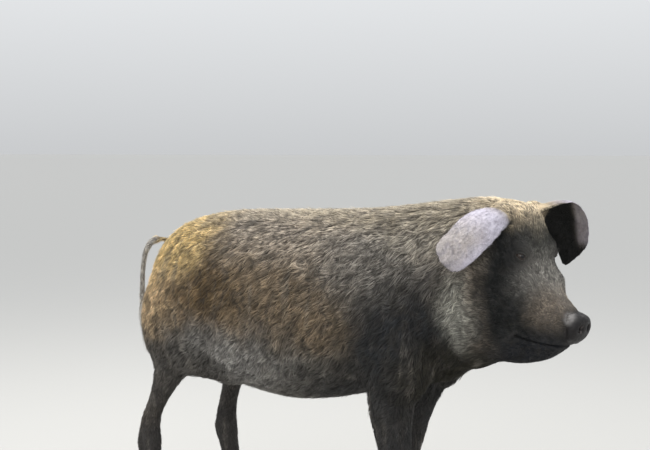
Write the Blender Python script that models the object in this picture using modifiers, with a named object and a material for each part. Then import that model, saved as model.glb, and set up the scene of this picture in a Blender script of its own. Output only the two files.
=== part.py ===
"""A full-grown pig of the curly-coated lard type, standing in mid-stride, at life size.

Metres, +Z up, +X the way the trunk points, +Y to the pig's left, the feet on Z = 0. The body is built
up as a sculptor would: sections lofted along the trunk, neck, head, legs and tail, with rounded masses
for the muscles, fused into one flesh and smoothed. Thin cuts then part the flesh into named pieces, and
the ears, eyes and claws are set against it. The solids reach out to the tips of the bristles.
"""

import math

import bmesh
import bpy
from mathutils import Matrix, Vector

# Driving dimensions
GAP = 0.0003  # between neighbouring solids
CUT = 0.0004  # thickness of the cuts that part the flesh
VOXEL = 0.005  # grain of the fused flesh
FLESH_TRIANGLES = 5000
SHIFT = Vector((-0.047, 0, 0))  # brings the middle of the whole body over the origin
TRACK = 0.118  # from the mid-plane to the middle of each foot
CORONET = 0.040  # height of the top of the claws above the floor
CLAW_LEAN = math.radians(14)  # the coronet is lower at the heel by this slope
POLL = Vector((0.526, -0.02, 0.872))  # top of the head, between the ears
HEAD_YAW = math.radians(-12)  # the head is turned to the pig's right
EYE_RADIUS = 0.0125
EYE_SUNK = 0.45  # how far the middle of an eyeball lies inside the head, as a share of its radius
CLAW_OFFSET = 0.018  # from the middle of a foot to the middle of each of its two claws
EAR_SIDES = 14
CLAW_SIDES = 12

HEAD = Matrix.Translation(POLL) @ Matrix.Rotation(HEAD_YAW, 4, "Z")

COLOURS = {
    "hide": (0.105, 0.085, 0.068, 1),
    "dark_hide": (0.032, 0.031, 0.033, 1),
    "snout": (0.045, 0.038, 0.040, 1),
    "horn": (0.050, 0.043, 0.038, 1),
    "eye": (0.020, 0.012, 0.008, 1),
    "tassel": (0.420, 0.370, 0.260, 1),
}


# Helpers ------------------------------------------------------------------------------------------


def new_collection(name):
    made = bpy.data.collections.new(name)
    bpy.context.scene.collection.children.link(made)
    return made


def material(name):
    made = bpy.data.materials.get(name)
    if made is None:
        made = bpy.data.materials.new(name)
        made.use_nodes = True
        shader = made.node_tree.nodes["Principled BSDF"]
        shader.inputs["Base Color"].default_value = COLOURS[name]
        shader.inputs["Roughness"].default_value = 0.15 if name == "eye" else 0.7
    return made


def add_object(name, mesh, collection, colour=None):
    obj = bpy.data.objects.new(name, mesh)
    collection.objects.link(obj)
    if colour:
        mesh.materials.clear()
        mesh.materials.append(material(colour))
        mesh.shade_smooth()
        mesh.set_sharp_from_angle(angle=math.radians(50))
    return obj


def mesh_of(built, name):
    """The bmesh as a new mesh, with its faces pointing out."""
    bmesh.ops.recalc_face_normals(built, faces=built.faces)
    made = bpy.data.meshes.new(name)
    built.to_mesh(made)
    built.free()
    return made


def applied(obj):
    """The object with its modifiers made part of its mesh."""
    graph = bpy.context.evaluated_depsgraph_get()
    mesh = bpy.data.meshes.new_from_object(obj.evaluated_get(graph))
    obj.modifiers.clear()
    obj.data = mesh
    return obj


def boolean(obj, other, operation="DIFFERENCE"):
    cut = obj.modifiers.new(operation.lower(), "BOOLEAN")
    cut.operation = operation
    cut.object = other
    cut.solver = "EXACT"


def blended(rows, steps):
    """The rows with steps - 1 more between each two, on a smooth curve through them all."""
    ends = [rows[0], *rows, rows[-1]]
    made = []
    for i in range(len(rows) - 1):
        for k in range(steps):
            t = k / steps
            weights = (
                -t / 2 + t**2 - t**3 / 2,
                1 - 5 * t**2 / 2 + 3 * t**3 / 2,
                t / 2 + 2 * t**2 - 3 * t**3 / 2,
                -(t**2) / 2 + t**3 / 2,
            )
            made.append([sum(w * v for w, v in zip(weights, four)) for four in zip(*ends[i : i + 4])])
    return [*made, list(rows[-1])]


def skin_over(rings, name):
    """A closed skin over rings of points, each ring with as many points as the next."""
    built = bmesh.new()
    rings = [[built.verts.new(point) for point in ring] for ring in rings]
    for one, two in zip(rings, rings[1:]):
        for k in range(len(one)):
            j = (k + 1) % len(one)
            built.faces.new((one[k], one[j], two[j], two[k]))
    built.faces.new(rings[0])
    built.faces.new(reversed(rings[-1]))
    return mesh_of(built, name)


def loft(rows, segments=28, steps=4, roundness=2.2):
    """A closed skin through oval sections, each standing across the mid-plane. A row is the x and z of
    the section's top or front, the x and z of its underside or back, the y of its middle, its half
    width, and how far down it is widest, from 0 to 1. roundness 2 is an ellipse and more is boxier."""
    rings = []
    for top_x, top_z, under_x, under_z, y, half, widest in blended(rows, steps):
        top = Vector((top_x, y, top_z))
        under = Vector((under_x, y, under_z))
        middle = top.lerp(under, widest)
        ring = []
        for k in range(segments):
            angle = 2 * math.pi * k / segments
            c, s = math.cos(angle), math.sin(angle)
            across = math.copysign(abs(c) ** (2 / roundness), c) * half
            outward = (top if s > 0 else under) - middle
            ring.append(middle + outward * abs(s) ** (2 / roundness) + Vector((0, across, 0)))
        rings.append(ring)
    return skin_over(rings, "loft")


def upright(sections):
    """Rows of a loft along X from x, top, underside, height of the widest place, half width."""
    return [
        (x, top, x, under, 0, half, (top - wide) / (top - under))
        for x, top, under, wide, half in sections
    ]


def limb(sections):
    """Rows of a loft down a leg from x, y, z, half width, reach forwards, reach backwards."""
    return [(x + ahead, z, x - behind, z, y, half, 0.5) for x, y, z, half, ahead, behind in sections]


def ball(at, radii, turn=0.0, lean=0.0, segments=24):
    """An egg-shaped mass. turn is about Z and lean about Y, in degrees; a lean dips the front."""
    built = bmesh.new()
    place = (
        Matrix.Translation(at)
        @ Matrix.Rotation(math.radians(turn), 4, "Z")
        @ Matrix.Rotation(math.radians(lean), 4, "Y")
        @ Matrix.Diagonal((*radii, 1))
    )
    rows = segments * 2 // 3
    bmesh.ops.create_uvsphere(built, u_segments=segments, v_segments=rows, radius=1, matrix=place)
    return mesh_of(built, "mass")


def both_sides(at, radii, turn=0.0, lean=0.0):
    x, y, z = at
    return [ball((x, y, z), radii, turn, lean), ball((x, -y, z), radii, -turn, lean)]


def slab(at, facing, radius, height=None):
    """A thin cutter square to the given direction, round, or oval where it is given a height."""
    built = bmesh.new()
    place = (
        Matrix.Translation(at)
        @ Vector(facing).to_track_quat("Z", "Y").to_matrix().to_4x4()
        @ Matrix.Diagonal((radius, height or radius, 1, 1))
    )
    bmesh.ops.create_cone(built, cap_ends=True, segments=40, radius1=1, radius2=1, depth=CUT, matrix=place)
    return mesh_of(built, "slab")


def cutter(name, mesh, collection):
    obj = add_object(name, mesh, collection)
    obj.hide_render = True
    obj.display_type = "WIRE"
    return obj


def swollen(mesh, by):
    """A copy of the mesh with every point moved out by the given amount."""
    made = mesh.copy()
    normals = [vertex.normal.copy() for vertex in made.vertices]
    for vertex, normal in zip(made.vertices, normals):
        vertex.co += normal * by
    return made


# Flesh --------------------------------------------------------------------------------------------


def trunk_masses():
    """The barrel, from the buttocks to the base of the neck, with hams and shoulders."""
    sections = [
        (-0.503, 0.655, 0.560, 0.610, 0.040),
        (-0.488, 0.718, 0.500, 0.610, 0.085),
        (-0.455, 0.762, 0.445, 0.600, 0.130),
        (-0.390, 0.802, 0.415, 0.600, 0.170),
        (-0.300, 0.823, 0.396, 0.600, 0.195),
        (-0.190, 0.831, 0.368, 0.595, 0.213),
        (-0.060, 0.834, 0.352, 0.585, 0.225),
        (0.060, 0.838, 0.366, 0.590, 0.222),
        (0.160, 0.844, 0.392, 0.600, 0.208),
        (0.260, 0.856, 0.412, 0.605, 0.188),
        (0.340, 0.864, 0.442, 0.620, 0.160),
        (0.400, 0.850, 0.480, 0.640, 0.120),
    ]
    return [
        loft(upright(sections), segments=36, roundness=2.25),
        *both_sides((-0.370, 0.102, 0.560), (0.125, 0.085, 0.180), lean=12),  # ham
        *both_sides((-0.300, 0.110, 0.490), (0.082, 0.060, 0.105), lean=8),  # stifle
        *both_sides((-0.235, 0.095, 0.455), (0.090, 0.050, 0.080), lean=12),  # flank fold
        *both_sides((0.225, 0.120, 0.600), (0.110, 0.082, 0.190), lean=-12),  # shoulder blade
        *both_sides((0.262, 0.116, 0.485), (0.090, 0.068, 0.105)),  # point of the shoulder
        ball((0.330, -0.005, 0.545), (0.085, 0.105, 0.120)),  # brisket
    ]


def neck_masses():
    """A short thick neck that runs level from the withers and bends a little to the right."""
    rows = [
        (0.240, 0.852, 0.230, 0.440, 0.000, 0.175, 0.48),
        (0.330, 0.866, 0.310, 0.450, -0.002, 0.168, 0.48),
        (0.420, 0.876, 0.380, 0.462, -0.010, 0.155, 0.50),
        (0.490, 0.876, 0.440, 0.480, -0.022, 0.132, 0.55),
        (0.525, 0.855, 0.485, 0.505, -0.032, 0.105, 0.60),
    ]
    return [loft(rows, segments=32)]


def head_masses():
    """The head in its own frame: the poll at the origin, +X the way the face points."""
    rows = [
        (-0.060, -0.004, -0.100, -0.358, 0, 0.088, 0.55),
        (0.000, -0.004, -0.068, -0.371, 0, 0.096, 0.55),
        (0.032, -0.026, -0.040, -0.374, 0, 0.096, 0.58),
        (0.044, -0.070, -0.012, -0.375, 0, 0.093, 0.55),
        (0.050, -0.112, 0.012, -0.374, 0, 0.081, 0.50),
        (0.060, -0.150, 0.040, -0.368, 0, 0.066, 0.45),
        (0.082, -0.183, 0.068, -0.359, 0, 0.057, 0.45),
        (0.104, -0.208, 0.095, -0.344, 0, 0.048, 0.45),
        (0.124, -0.229, 0.114, -0.326, 0, 0.043, 0.42),
        (0.136, -0.244, 0.126, -0.310, 0, 0.039, 0.45),
    ]
    masses = [
        loft(rows, segments=28, steps=4),
        ball((0.147, 0, -0.279), (0.013, 0.045, 0.036), lean=16),  # disc of the snout
        ball((0.122, 0, -0.268), (0.034, 0.040, 0.034), lean=30),  # bulb of the snout
        *both_sides((0.020, 0.050, -0.104), (0.040, 0.030, 0.030), lean=60),  # brow
        *both_sides((0.000, 0.044, -0.180), (0.042, 0.036, 0.062), turn=-16, lean=-30),  # cheekbone
        *both_sides((-0.005, 0.062, -0.215), (0.080, 0.050, 0.085), lean=20),  # cheek
        *both_sides((-0.040, 0.058, -0.300), (0.085, 0.055, 0.066), lean=5),  # jowl
        *both_sides((0.085, 0.036, -0.272), (0.050, 0.018, 0.026), turn=-8, lean=35),  # upper lip
        *both_sides((-0.012, 0.062, -0.034), (0.034, 0.030, 0.032)),  # root of the ear
    ]
    for mesh in masses:
        mesh.transform(HEAD)
    return masses


def tail_mass():
    """The tail arches off the rump, hangs behind the ham and ends in a tassel."""
    sections = [
        (-0.450, 0.000, 0.722, 0.022),
        (-0.495, 0.000, 0.738, 0.019),
        (-0.532, 0.000, 0.738, 0.014),
        (-0.560, -0.002, 0.722, 0.012),
        (-0.576, -0.004, 0.688, 0.011),
        (-0.582, -0.006, 0.640, 0.010),
        (-0.582, -0.008, 0.585, 0.011),
        (-0.578, -0.010, 0.530, 0.014),
        (-0.571, -0.012, 0.480, 0.015),
        (-0.565, -0.013, 0.440, 0.011),
        (-0.561, -0.014, 0.415, 0.006),
    ]
    rows = []
    for i, (x, y, z, radius) in enumerate(sections):
        after, before = sections[min(i + 1, len(sections) - 1)], sections[max(i - 1, 0)]
        along = Vector((after[0] - before[0], after[2] - before[2])).normalized() * radius
        rows.append((x - along.y, z + along.x, x + along.y, z - along.x, y, radius, 0.5))
    return loft(rows, segments=14, steps=3, roundness=2)


def foreleg_mass(side, elbow_x, knee_x, foot_x):
    """A foreleg from inside the shoulder down to below the coronet. side is 1 on the left."""
    fetlock_x = foot_x - 0.012
    y = side * TRACK
    sections = [
        (elbow_x - 0.005, y * 0.96, 0.520, 0.062, 0.085, 0.080),
        (elbow_x, y * 0.98, 0.440, 0.056, 0.072, 0.062),
        (elbow_x * 0.6 + knee_x * 0.4, y, 0.365, 0.047, 0.053, 0.054),
        (elbow_x * 0.3 + knee_x * 0.7, y, 0.300, 0.040, 0.042, 0.044),
        (knee_x, y, 0.225, 0.036, 0.038, 0.036),
        (knee_x * 0.7 + fetlock_x * 0.3, y, 0.180, 0.030, 0.030, 0.031),
        (knee_x * 0.3 + fetlock_x * 0.7, y, 0.130, 0.028, 0.027, 0.030),
        (fetlock_x, y, 0.092, 0.034, 0.031, 0.036),
        (fetlock_x * 0.5 + foot_x * 0.5, y, 0.065, 0.034, 0.032, 0.034),
        (foot_x, y, 0.042, 0.037, 0.036, 0.034),
        (foot_x + 0.006, y, 0.010, 0.037, 0.036, 0.034),
    ]
    return loft(limb(sections), segments=20)


def hindleg_mass(side, stifle_x, hock_x, foot_x):
    """A hind leg from inside the ham, back to the hock and down to below the coronet."""
    fetlock_x = foot_x - 0.012
    y = side * TRACK
    sections = [
        (stifle_x - 0.005, y * 0.92, 0.540, 0.066, 0.100, 0.100),
        (stifle_x - 0.010, y * 0.95, 0.470, 0.056, 0.078, 0.078),
        (stifle_x * 0.6 + hock_x * 0.4, y * 0.98, 0.405, 0.044, 0.050, 0.050),
        (stifle_x * 0.3 + hock_x * 0.7, y, 0.335, 0.031, 0.028, 0.030),
        (hock_x + 0.006, y, 0.270, 0.027, 0.026, 0.030),
        (hock_x, y, 0.205, 0.030, 0.034, 0.038),
        (hock_x * 0.75 + fetlock_x * 0.25, y, 0.165, 0.028, 0.030, 0.029),
        (hock_x * 0.35 + fetlock_x * 0.65, y, 0.125, 0.026, 0.027, 0.028),
        (fetlock_x, y, 0.090, 0.032, 0.030, 0.035),
        (fetlock_x * 0.5 + foot_x * 0.5, y, 0.065, 0.033, 0.031, 0.033),
        (foot_x, y, 0.042, 0.036, 0.035, 0.033),
        (foot_x + 0.006, y, 0.010, 0.036, 0.035, 0.033),
    ]
    return loft(limb(sections), segments=20)


# Each leg: its side, and the places along X that it passes through.
FORELEGS = {
    "foreleg_right": dict(side=-1, elbow_x=0.235, knee_x=0.262, foot_x=0.268),
    "foreleg_left": dict(side=1, elbow_x=0.235, knee_x=0.176, foot_x=0.150),
}
HINDLEGS = {
    "hindleg_right": dict(side=-1, stifle_x=-0.345, hock_x=-0.470, foot_x=-0.455),
    "hindleg_left": dict(side=1, stifle_x=-0.312, hock_x=-0.388, foot_x=-0.352),
}
LEGS = {**FORELEGS, **HINDLEGS}


def fused_flesh(collection):
    """Trunk, neck, head, tail and legs as one smooth closed surface."""
    legs = [foreleg_mass(**leg) for leg in FORELEGS.values()]
    legs += [hindleg_mass(**leg) for leg in HINDLEGS.values()]
    joined = bmesh.new()
    for mesh in trunk_masses() + neck_masses() + head_masses() + [tail_mass()] + legs:
        joined.from_mesh(mesh)
        bpy.data.meshes.remove(mesh)
    mesh = bpy.data.meshes.new("flesh")
    joined.to_mesh(mesh)
    joined.free()
    flesh = cutter("flesh", mesh, collection)
    fuse = flesh.modifiers.new("fuse", "REMESH")
    fuse.mode = "VOXEL"
    fuse.voxel_size = VOXEL
    applied(flesh)

    # The trunk is rounded over the most, the head less, and the legs and tail least.
    trunk = flesh.vertex_groups.new(name="trunk")
    head = flesh.vertex_groups.new(name="head")
    for vertex in flesh.data.vertices:
        x, _, z = vertex.co
        legs_off = (z - 0.36) / 0.08
        trunk_share = min(1, (0.48 - x) / 0.10, legs_off, (x + 0.53) / 0.04)
        head_share = min(1, (x - 0.40) / 0.06, legs_off)
        if trunk_share > 0:
            trunk.add([vertex.index], trunk_share, "REPLACE")
        if head_share > 0:
            head.add([vertex.index], head_share, "REPLACE")
    for name, repeats, group in (("all", 5, ""), ("head", 14, "head"), ("trunk", 110, "trunk")):
        smooth = flesh.modifiers.new(name, "SMOOTH")
        smooth.factor, smooth.iterations, smooth.vertex_group = 0.5, repeats, group
    applied(flesh)

    thin = flesh.modifiers.new("thin", "DECIMATE")
    thin.ratio = FLESH_TRIANGLES / (2 * len(flesh.data.polygons))
    return applied(flesh)


# Parting the flesh --------------------------------------------------------------------------------


def in_head(x, y, z):
    """A place given in the head's own frame."""
    return HEAD @ Vector((x, y, z))


def foot_of(leg):
    return Vector((leg["foot_x"], leg["side"] * TRACK, CORONET))


def flesh_cuts():
    """The thin slabs that part the flesh. They pass right through where they cut."""
    lean = Matrix.Rotation(-CLAW_LEAN, 3, "Y")
    cuts = [
        slab((0.322, 0, 0.660), (1, 0, 0.10), 0.32),  # trunk from neck
        slab(in_head(-0.068, 0, -0.190), HEAD.to_3x3() @ Vector((1, 0, -0.16)), 0.26),  # neck from head
        slab(in_head(0.131, 0, -0.2745), HEAD.to_3x3() @ Vector((1, 0, -0.29)), 0.045, 0.052),  # disc
        slab((-0.528, 0, 0.739), (1, 0, 0.05), 0.030),  # trunk from tail
        slab((-0.580, -0.009, 0.560), (0, 0, 1), 0.030),  # tail from its tassel
    ]
    for leg in FORELEGS.values():
        cuts.append(slab((leg["elbow_x"] + 0.004, leg["side"] * TRACK, 0.378), (0.12, 0, 1), 0.098))
    for leg in HINDLEGS.values():
        x = leg["stifle_x"] * 0.6 + leg["hock_x"] * 0.4
        cuts.append(slab((x - 0.002, leg["side"] * TRACK, 0.386), (0.26, 0, 1), 0.115))
    for leg in LEGS.values():
        cuts.append(slab(foot_of(leg), lean @ Vector((0, 0, 1)), 0.070))
    return cuts


def part_seeds():
    """A place well inside each piece of flesh, and below each coronet one that isn't kept."""
    seeds = {
        "trunk": Vector((-0.05, 0, 0.60)),
        "neck": Vector((0.40, 0, 0.68)),
        "head": in_head(0.00, 0, -0.19),
        "snout_disc": in_head(0.145, 0, -0.279),
        "tail": Vector((-0.560, 0, 0.660)),
        "tail_tassel": Vector((-0.571, 0, 0.490)),
    }
    for name, leg in LEGS.items():
        seeds[name] = foot_of(leg) + Vector((0, 0, 0.17))
        seeds["below_" + name] = foot_of(leg) - Vector((0, 0, 0.02))
    return seeds


def parted(flesh, helpers):
    """The flesh's pieces, by name, as meshes."""
    for i, mesh in enumerate(flesh_cuts()):
        boolean(flesh, cutter(f"cut_{i}", mesh, helpers))
    applied(flesh)
    whole = bmesh.new()
    whole.from_mesh(flesh.data)
    seeds = part_seeds()
    pieces = {}
    left = set(whole.verts)
    while left:
        island = {left.pop()}
        to_visit = list(island)
        while to_visit:
            for edge in to_visit.pop().link_edges:
                for vertex in edge.verts:
                    if vertex in left:
                        left.remove(vertex)
                        island.add(vertex)
                        to_visit.append(vertex)
        low = Vector(min(v.co[i] for v in island) for i in range(3))
        high = Vector(max(v.co[i] for v in island) for i in range(3))
        middle = (low + high) / 2
        name = min(seeds, key=lambda seed: (seeds[seed] - middle).length)
        piece = whole.copy()
        keep = {v.index for v in island}
        piece.verts.ensure_lookup_table()
        bmesh.ops.delete(piece, geom=[v for v in piece.verts if v.index not in keep], context="VERTS")
        if name in pieces:
            raise RuntimeError(f"two pieces of flesh lie nearest to {name}")
        pieces[name] = mesh_of(piece, name)
    return {name: mesh for name, mesh in pieces.items() if not name.startswith("below_")}


# Ears, eyes, nostrils and claws -------------------------------------------------------------------


# Each ear is a leaf: half width in front of the middle line, behind it, depth of the cup and half
# thickness, from the root to the tip. The right one has a straighter front edge and a corner at the back.
EAR_LEAVES = {
    "right": [
        (0.022, 0.032, 0.010, 0.0090),
        (0.031, 0.047, 0.018, 0.0075),
        (0.040, 0.060, 0.024, 0.0060),
        (0.045, 0.067, 0.023, 0.0050),
        (0.045, 0.069, 0.018, 0.0045),
        (0.038, 0.074, 0.011, 0.0040),
        (0.026, 0.045, 0.005, 0.0036),
        (0.010, 0.011, 0.001, 0.0030),
    ],
    "left": [
        (0.022, 0.030, 0.010, 0.0090),
        (0.032, 0.052, 0.018, 0.0075),
        (0.046, 0.063, 0.024, 0.0060),
        (0.054, 0.066, 0.023, 0.0050),
        (0.055, 0.061, 0.018, 0.0045),
        (0.052, 0.048, 0.011, 0.0040),
        (0.030, 0.026, 0.005, 0.0036),
        (0.008, 0.008, 0.001, 0.0030),
    ],
}
# The middle line of each: forward, out from the mid-plane, and up, in the head's frame. The right ear
# is swept back and out, and the left one hangs beside the brow.
EAR_LINES = {
    "right": [
        (0.000, 0.036, -0.032),
        (-0.003, 0.075, -0.026),
        (-0.010, 0.108, -0.030),
        (-0.019, 0.140, -0.047),
        (-0.028, 0.169, -0.077),
        (-0.036, 0.192, -0.111),
        (-0.040, 0.206, -0.138),
        (-0.040, 0.212, -0.154),
    ],
    "left": [
        (0.004, 0.036, -0.032),
        (0.014, 0.074, -0.018),
        (0.026, 0.108, -0.016),
        (0.034, 0.132, -0.036),
        (0.037, 0.145, -0.068),
        (0.035, 0.150, -0.104),
        (0.027, 0.149, -0.140),
        (0.020, 0.146, -0.162),
    ],
}
# a turn about the line drops the front edge of the right ear and raises that of the left one
EAR_TWIST = {"right": math.radians(22), "left": math.radians(-32)}


def ear_mesh(word, side):
    """One lop ear: a cupped leaf that reaches out from the poll and droops, its outer face up."""
    rows = blended([line + leaf for line, leaf in zip(EAR_LINES[word], EAR_LEAVES[word])], 2)
    leading = Vector((math.cos(EAR_TWIST[word]), 0, -math.sin(EAR_TWIST[word])))
    rings = []
    for i, (forward, out, up, ahead, behind, cup, thick) in enumerate(rows):
        after, before = rows[min(i + 1, len(rows) - 1)], rows[max(i - 1, 0)]
        along = Vector((after[0] - before[0], after[1] - before[1], after[2] - before[2])).normalized()
        across = (leading - along * leading.dot(along)).normalized()
        outer = across.cross(along)
        ring = []
        for k in range(EAR_SIDES):
            angle = 2 * math.pi * k / EAR_SIDES
            c, s = math.cos(angle), math.sin(angle)
            point = Vector((forward, out, up)) + across * c * (ahead if c > 0 else behind)
            point += outer * (s * thick - cup * c * c)
            ring.append((point.x, side * point.y, point.z))
        rings.append(ring)
    mesh = skin_over(rings, "ear")
    mesh.transform(HEAD)
    return mesh


def claw_mesh(foot, inner_side):
    """One main claw, from its flat sole to the sloping coronet. inner_side is +1 or -1, the way along
    Y that its flat inner wall faces."""
    # how high up, reach forwards, reach backwards, half width of the outer wall, of the inner wall
    sections = [
        (0.00, 0.043, 0.027, 0.017, 0.0135),
        (0.12, 0.046, 0.030, 0.019, 0.0145),
        (0.60, 0.042, 0.033, 0.019, 0.0150),
        (1.00, 0.034, 0.033, 0.018, 0.0150),
    ]
    splay = Matrix.Rotation(math.radians(-4 * inner_side), 3, "Z")
    rings = []
    for share, ahead, behind, outer, inner in sections:
        ring = []
        for k in range(CLAW_SIDES):
            angle = 2 * math.pi * k / CLAW_SIDES
            c, s = math.cos(angle), math.sin(angle)
            # The inner wall is nearly flat, and the toe is more pointed than the heel.
            y = -inner_side * s * outer if s > 0 else inner_side * inner * abs(s) ** 0.35
            x = c * ahead if c > 0 else c * behind
            y *= 1 - 0.35 * max(0, c) ** 2
            place = splay @ Vector((x, y, 0))
            place.y -= inner_side * CLAW_OFFSET
            top = CORONET - CUT + math.tan(CLAW_LEAN) * place.x
            ring.append((foot.x + place.x, foot.y + place.y, share * top))
        rings.append(ring)
    return skin_over(rings, "claw")


def dewclaw_mesh(foot, inner_side):
    """One of the two small claws behind the fetlock, which hang clear of the ground."""
    built = bmesh.new()
    aim = Vector((-0.50, -0.15 * inner_side, -0.85)).normalized()
    root = foot + Vector((-0.027, -0.0190 * inner_side, 0.036))
    place = (
        Matrix.Translation(root + aim * 0.016)
        @ aim.to_track_quat("Z", "Y").to_matrix().to_4x4()
        @ Matrix.Diagonal((1.0, 0.75, 1, 1))
    )
    bmesh.ops.create_cone(
        built, cap_ends=True, segments=8, radius1=0.0130, radius2=0.0055, depth=0.032, matrix=place
    )
    return mesh_of(built, "dewclaw")


def seat_eye(head, side):
    """The middle of an eyeball that shows a little under half of itself."""
    outside = in_head(0.080, side * 0.150, -0.118)
    inside = in_head(0.000, 0, -0.130)
    hit, place, normal, _ = head.ray_cast(outside, inside - outside)
    if not hit:
        raise RuntimeError("the eye's place misses the head")
    return place - normal * EYE_RADIUS * EYE_SUNK


def main():
    for obj in list(bpy.data.objects):
        bpy.data.objects.remove(obj)
    helpers = new_collection("helpers")
    pig = new_collection("pig")
    flesh = fused_flesh(helpers)
    flesh_skin = cutter("flesh_skin", swollen(flesh.data, GAP), helpers)
    colours = {"snout_disc": "snout", "tail_tassel": "tassel"}
    parts = {}
    for name, mesh in parted(flesh, helpers).items():
        colour = colours.get(name, "dark_hide" if "leg" in name else "hide")
        parts[name] = add_object(name, mesh, pig, colour)

    for word, side in (("right", -1), ("left", 1)):
        middle = seat_eye(parts["head"], side)
        name = "eye_" + word
        parts[name] = add_object(name, ball(middle, [EYE_RADIUS] * 3, segments=12), pig, "eye")
        socket = ball(middle, [EYE_RADIUS + GAP] * 3, segments=12)
        boolean(parts["head"], cutter("socket_" + word, socket, helpers))

        name = "ear_" + word
        parts[name] = add_object(name, ear_mesh(word, side), pig, "dark_hide")
        boolean(parts[name], flesh_skin)

        nostril = ball((0.158, side * 0.0165, -0.277), (0.016, 0.0075, 0.0095), lean=16, segments=9)
        nostril.transform(HEAD)
        boolean(parts["snout_disc"], cutter("nostril_" + word, nostril, helpers))

    for name, leg in LEGS.items():
        for word, inner_side in (("outer", -leg["side"]), ("inner", leg["side"])):
            claw = f"{name}_claw_{word}"
            parts[claw] = add_object(claw, claw_mesh(foot_of(leg), inner_side), pig, "horn")
            dewclaw = f"{name}_dewclaw_{word}"
            parts[dewclaw] = add_object(dewclaw, dewclaw_mesh(foot_of(leg), inner_side), pig, "horn")
            boolean(parts[dewclaw], flesh_skin)

    for obj in parts.values():
        applied(obj).data.transform(Matrix.Translation(SHIFT))


main()
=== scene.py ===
"""A full-grown pig of the bristly lard type, as a still life-size model: its skin, eyes, claws and coat,
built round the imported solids. Metres, +Z up, +X the way the trunk points, +Y to the pig's left."""

import math

import bmesh
import bpy
import numpy as np
from mathutils import Matrix, Vector
from mathutils.bvhtree import BVHTree
from mathutils.kdtree import KDTree


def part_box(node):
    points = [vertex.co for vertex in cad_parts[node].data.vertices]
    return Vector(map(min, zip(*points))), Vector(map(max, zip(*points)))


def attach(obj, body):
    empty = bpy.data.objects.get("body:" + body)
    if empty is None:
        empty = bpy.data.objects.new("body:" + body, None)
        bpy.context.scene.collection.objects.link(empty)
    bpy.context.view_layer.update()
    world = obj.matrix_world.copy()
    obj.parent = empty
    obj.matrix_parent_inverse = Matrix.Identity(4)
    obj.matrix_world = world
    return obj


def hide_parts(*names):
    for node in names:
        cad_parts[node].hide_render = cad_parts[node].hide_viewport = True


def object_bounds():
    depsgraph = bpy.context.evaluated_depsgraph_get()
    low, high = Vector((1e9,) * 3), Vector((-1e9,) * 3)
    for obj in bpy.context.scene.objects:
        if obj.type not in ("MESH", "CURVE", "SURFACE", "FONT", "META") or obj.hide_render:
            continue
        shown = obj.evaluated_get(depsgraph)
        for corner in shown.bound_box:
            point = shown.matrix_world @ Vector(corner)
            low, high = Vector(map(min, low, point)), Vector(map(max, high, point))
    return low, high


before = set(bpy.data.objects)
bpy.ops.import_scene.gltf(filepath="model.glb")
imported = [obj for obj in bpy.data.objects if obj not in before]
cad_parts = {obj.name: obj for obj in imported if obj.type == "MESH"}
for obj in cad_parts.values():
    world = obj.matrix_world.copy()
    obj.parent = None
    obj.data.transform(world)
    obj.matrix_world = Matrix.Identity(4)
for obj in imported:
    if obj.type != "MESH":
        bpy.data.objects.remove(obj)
cad_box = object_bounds()


# The room -------------------------------------------------
# A plain pale floor that runs to the horizon, a wide soft lamp high over the pig's far side and two
# weaker ones on the near side. The camera stands off the right shoulder, a little above the back.

CAMERA_OFF = 2.7  # from the middle of the pig, along the floor
CAMERA_TURN = math.radians(30)  # from square to the pig's right side, towards its head
CAMERA_TILT = math.radians(3.95)  # downwards
CAMERA_AT_X = -0.047  # what the camera stands opposite to
CAMERA_HEIGHT = 0.98
LENS, SENSOR = 59.8, 36  # in millimetres
FLOOR_SIZE = 400.0
FLOOR_COLOUR, FLOOR_ROUGHNESS = (0.43, 0.425, 0.41), 0.85
ROOM_COLOUR = (0.93, 0.95, 0.97)
HORIZON_LIGHT, ZENITH_LIGHT = 0.635, 1.40
ZENITH_FROM = 0.55  # how far up the sky, from 0 to 1, its light is that of the zenith


def new_material(name):
    """A new material, its nodes and its shader."""
    made = bpy.data.materials.new(name)
    made.use_nodes = True
    return made, made.node_tree, made.node_tree.nodes["Principled BSDF"]


def add_lamp(name, place, aim, size, power, colour):
    bpy.ops.object.light_add(type="AREA", location=place)
    lamp = bpy.context.object
    lamp.name = name
    lamp.rotation_euler = (Vector(aim) - Vector(place)).to_track_quat("-Z", "Y").to_euler()
    lamp.data.shape = "DISK"
    lamp.data.size = size
    lamp.data.energy = power
    lamp.data.color = colour


bpy.ops.object.select_all(action="DESELECT")
bpy.ops.mesh.primitive_plane_add(size=FLOOR_SIZE)
floor = bpy.context.object
floor.name = "floor"
pale_floor, tree, shader = new_material("pale_floor")
shader.inputs["Base Color"].default_value = (*FLOOR_COLOUR, 1)
shader.inputs["Roughness"].default_value = FLOOR_ROUGHNESS
floor.data.materials.append(pale_floor)

pig_middle = (0, 0, cad_box[1].z / 2)
add_lamp("sky_lamp", (-0.6, 0.3, 3.4), pig_middle, 2.4, 90, (1.0, 0.98, 0.94))
add_lamp("near_lamp", (1.6, -3.6, 2.4), pig_middle, 1.1, 19, (0.96, 0.98, 1.0))
add_lamp("tail_lamp", (-3.2, -1.6, 1.8), pig_middle, 2.0, 14, (1.0, 0.97, 0.92))

world = bpy.data.worlds.new("studio")
bpy.context.scene.world = world
world.use_nodes = True
tree = world.node_tree
background = tree.nodes["Background"]
background.inputs["Color"].default_value = (*ROOM_COLOUR, 1)
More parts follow.
